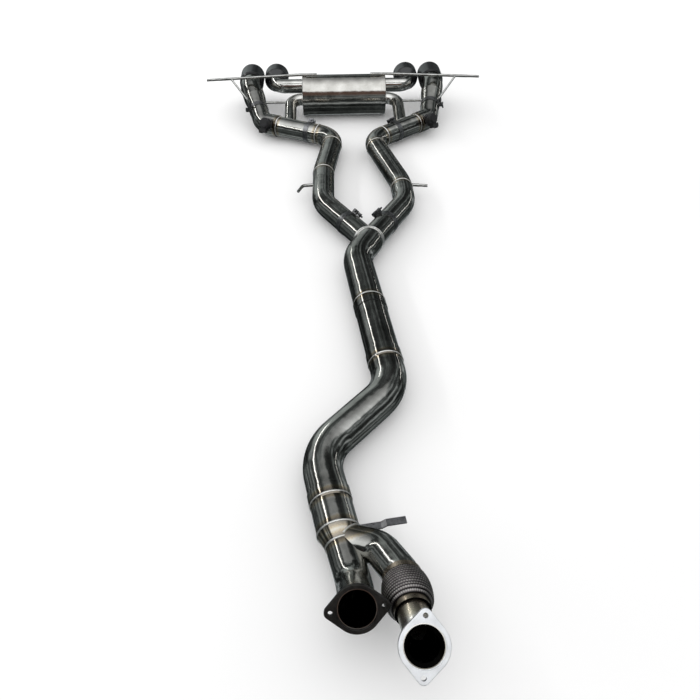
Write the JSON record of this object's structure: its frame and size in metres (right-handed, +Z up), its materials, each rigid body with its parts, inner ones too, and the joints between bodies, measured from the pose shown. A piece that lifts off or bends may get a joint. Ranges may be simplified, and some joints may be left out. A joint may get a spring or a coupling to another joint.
{
  "type": "racing exhaust system",
  "caption": "Twin-inlet racing exhaust: flexible joint, collector, Y piece, spread branch pipes, valves with motors, transverse silencer and black tips.",
  "frame": {"origin": "middle of the part's own box, on the level it rests on", "axes": "+Y runs back from the inlets to the tips, +X to the right seen from behind the inlets looking to the tips, +Z up"},
  "size_m": [1.1404, 2.6512, 0.1994],
  "materials": {
    "polished_stainless": "polished",
    "satin_flange": "satin",
    "dark_flange": "satin, darkened by heat",
    "woven_braid": "woven wire",
    "heat_tinted_stub": "satin, straw heat tint",
    "thin_stainless": "mill finish",
    "black_tip": "gloss black",
    "rod_steel": "bright drawn",
    "clamp_steel": "zinc plated",
    "black_plastic": "moulded",
    "valve_steel": "machined",
    "bronze": "machined",
    "packing_wool": "loose wool"
  },
  "bodies": {
    "exhaust": {"brace_rods": "rod_steel", "clamp_bolts": "clamp_steel", "collector_strap": "satin_flange", "flex_bellows": "thin_stainless", "flex_braid": "woven_braid", "flex_inlet_tube": "polished_stainless", "flex_liner": "thin_stainless", "flex_rear_collar": "satin_flange", "front_main_pipe": "polished_stainless", "left_branch_hanger": "rod_steel", "left_branch_pipe": "polished_stainless", "left_hanger_rod": "rod_steel", "left_inner_tip": "black_tip", "left_leg_pipe": "polished_stainless", "left_motor_plate": "clamp_steel", "left_outer_tip": "black_tip", "left_outlet_elbow": "polished_stainless", "left_side_elbow": "polished_stainless", "left_silencer_cap": "polished_stainless", "left_tail_pipe": "polished_stainless", "left_valve_body": "polished_stainless", "left_valve_motor": "black_plastic", "leg_clamp_bands": "clamp_steel", "merge_collector": "polished_stainless", "motor_bolts": "clamp_steel", "outlet_clamp_bands": "clamp_steel", "plain_inlet_flange": "dark_flange", "plain_inlet_tube": "polished_stainless", "rear_main_pipe": "polished_stainless", "right_branch_hanger": "rod_steel", "right_branch_pipe": "polished_stainless", "right_hanger_rod": "rod_steel", "right_inner_tip": "black_tip", "right_leg_pipe": "polished_stainless", "right_motor_plate": "clamp_steel", "right_outer_tip": "black_tip", "right_outlet_elbow": "polished_stainless", "right_side_elbow": "polished_stainless", "right_silencer_cap": "polished_stainless", "right_tail_pipe": "polished_stainless", "right_valve_body": "polished_stainless", "right_valve_motor": "black_plastic", "s_bend_pipe": "polished_stainless", "silencer_baffles": "thin_stainless", "silencer_core_tubes": "thin_stainless", "silencer_packing": "packing_wool", "silencer_shell": "polished_stainless", "tie_rods": "rod_steel", "valve_bushes": "bronze", "y_clamp_bands": "clamp_steel", "y_splitter": "polished_stainless"},
    "flex_inlet": {"flex_inlet_flange": "satin_flange", "flex_stub_pipe": "heat_tinted_stub", "flex_front_collar": "satin_flange"},
    "left_valve": {"left_valve_shaft": "valve_steel", "left_valve_flap": "valve_steel", "left_flap_screws": "valve_steel"},
    "right_valve": {"right_valve_shaft": "valve_steel", "right_valve_flap": "valve_steel", "right_flap_screws": "valve_steel"}
  },
  "joints": [
    {"name": "flex_bend", "type": "hinge", "parent": "exhaust", "child": "flex_inlet", "pos_m": [0.04084, -1.15325, 0.10454], "axis": [1, 0, 0], "range_deg": [-4, 4], "stiffness_Nm_per_rad": 200, "deforming": ["flex_braid", "flex_bellows", "flex_liner"]},
    {"name": "left_valve_turn", "type": "hinge", "parent": "exhaust", "child": "left_valve", "pos_m": [-0.29307, 0.94616, 0.0464], "axis": [-0.3949, -0.7897, 0.4695], "range_deg": [0, 85]},
    {"name": "right_valve_turn", "type": "hinge", "parent": "exhaust", "child": "right_valve", "pos_m": [0.30733, 0.95588, 0.0464], "axis": [0.5471, -0.693, 0.4695], "range_deg": [0, 85]}
  ]
}
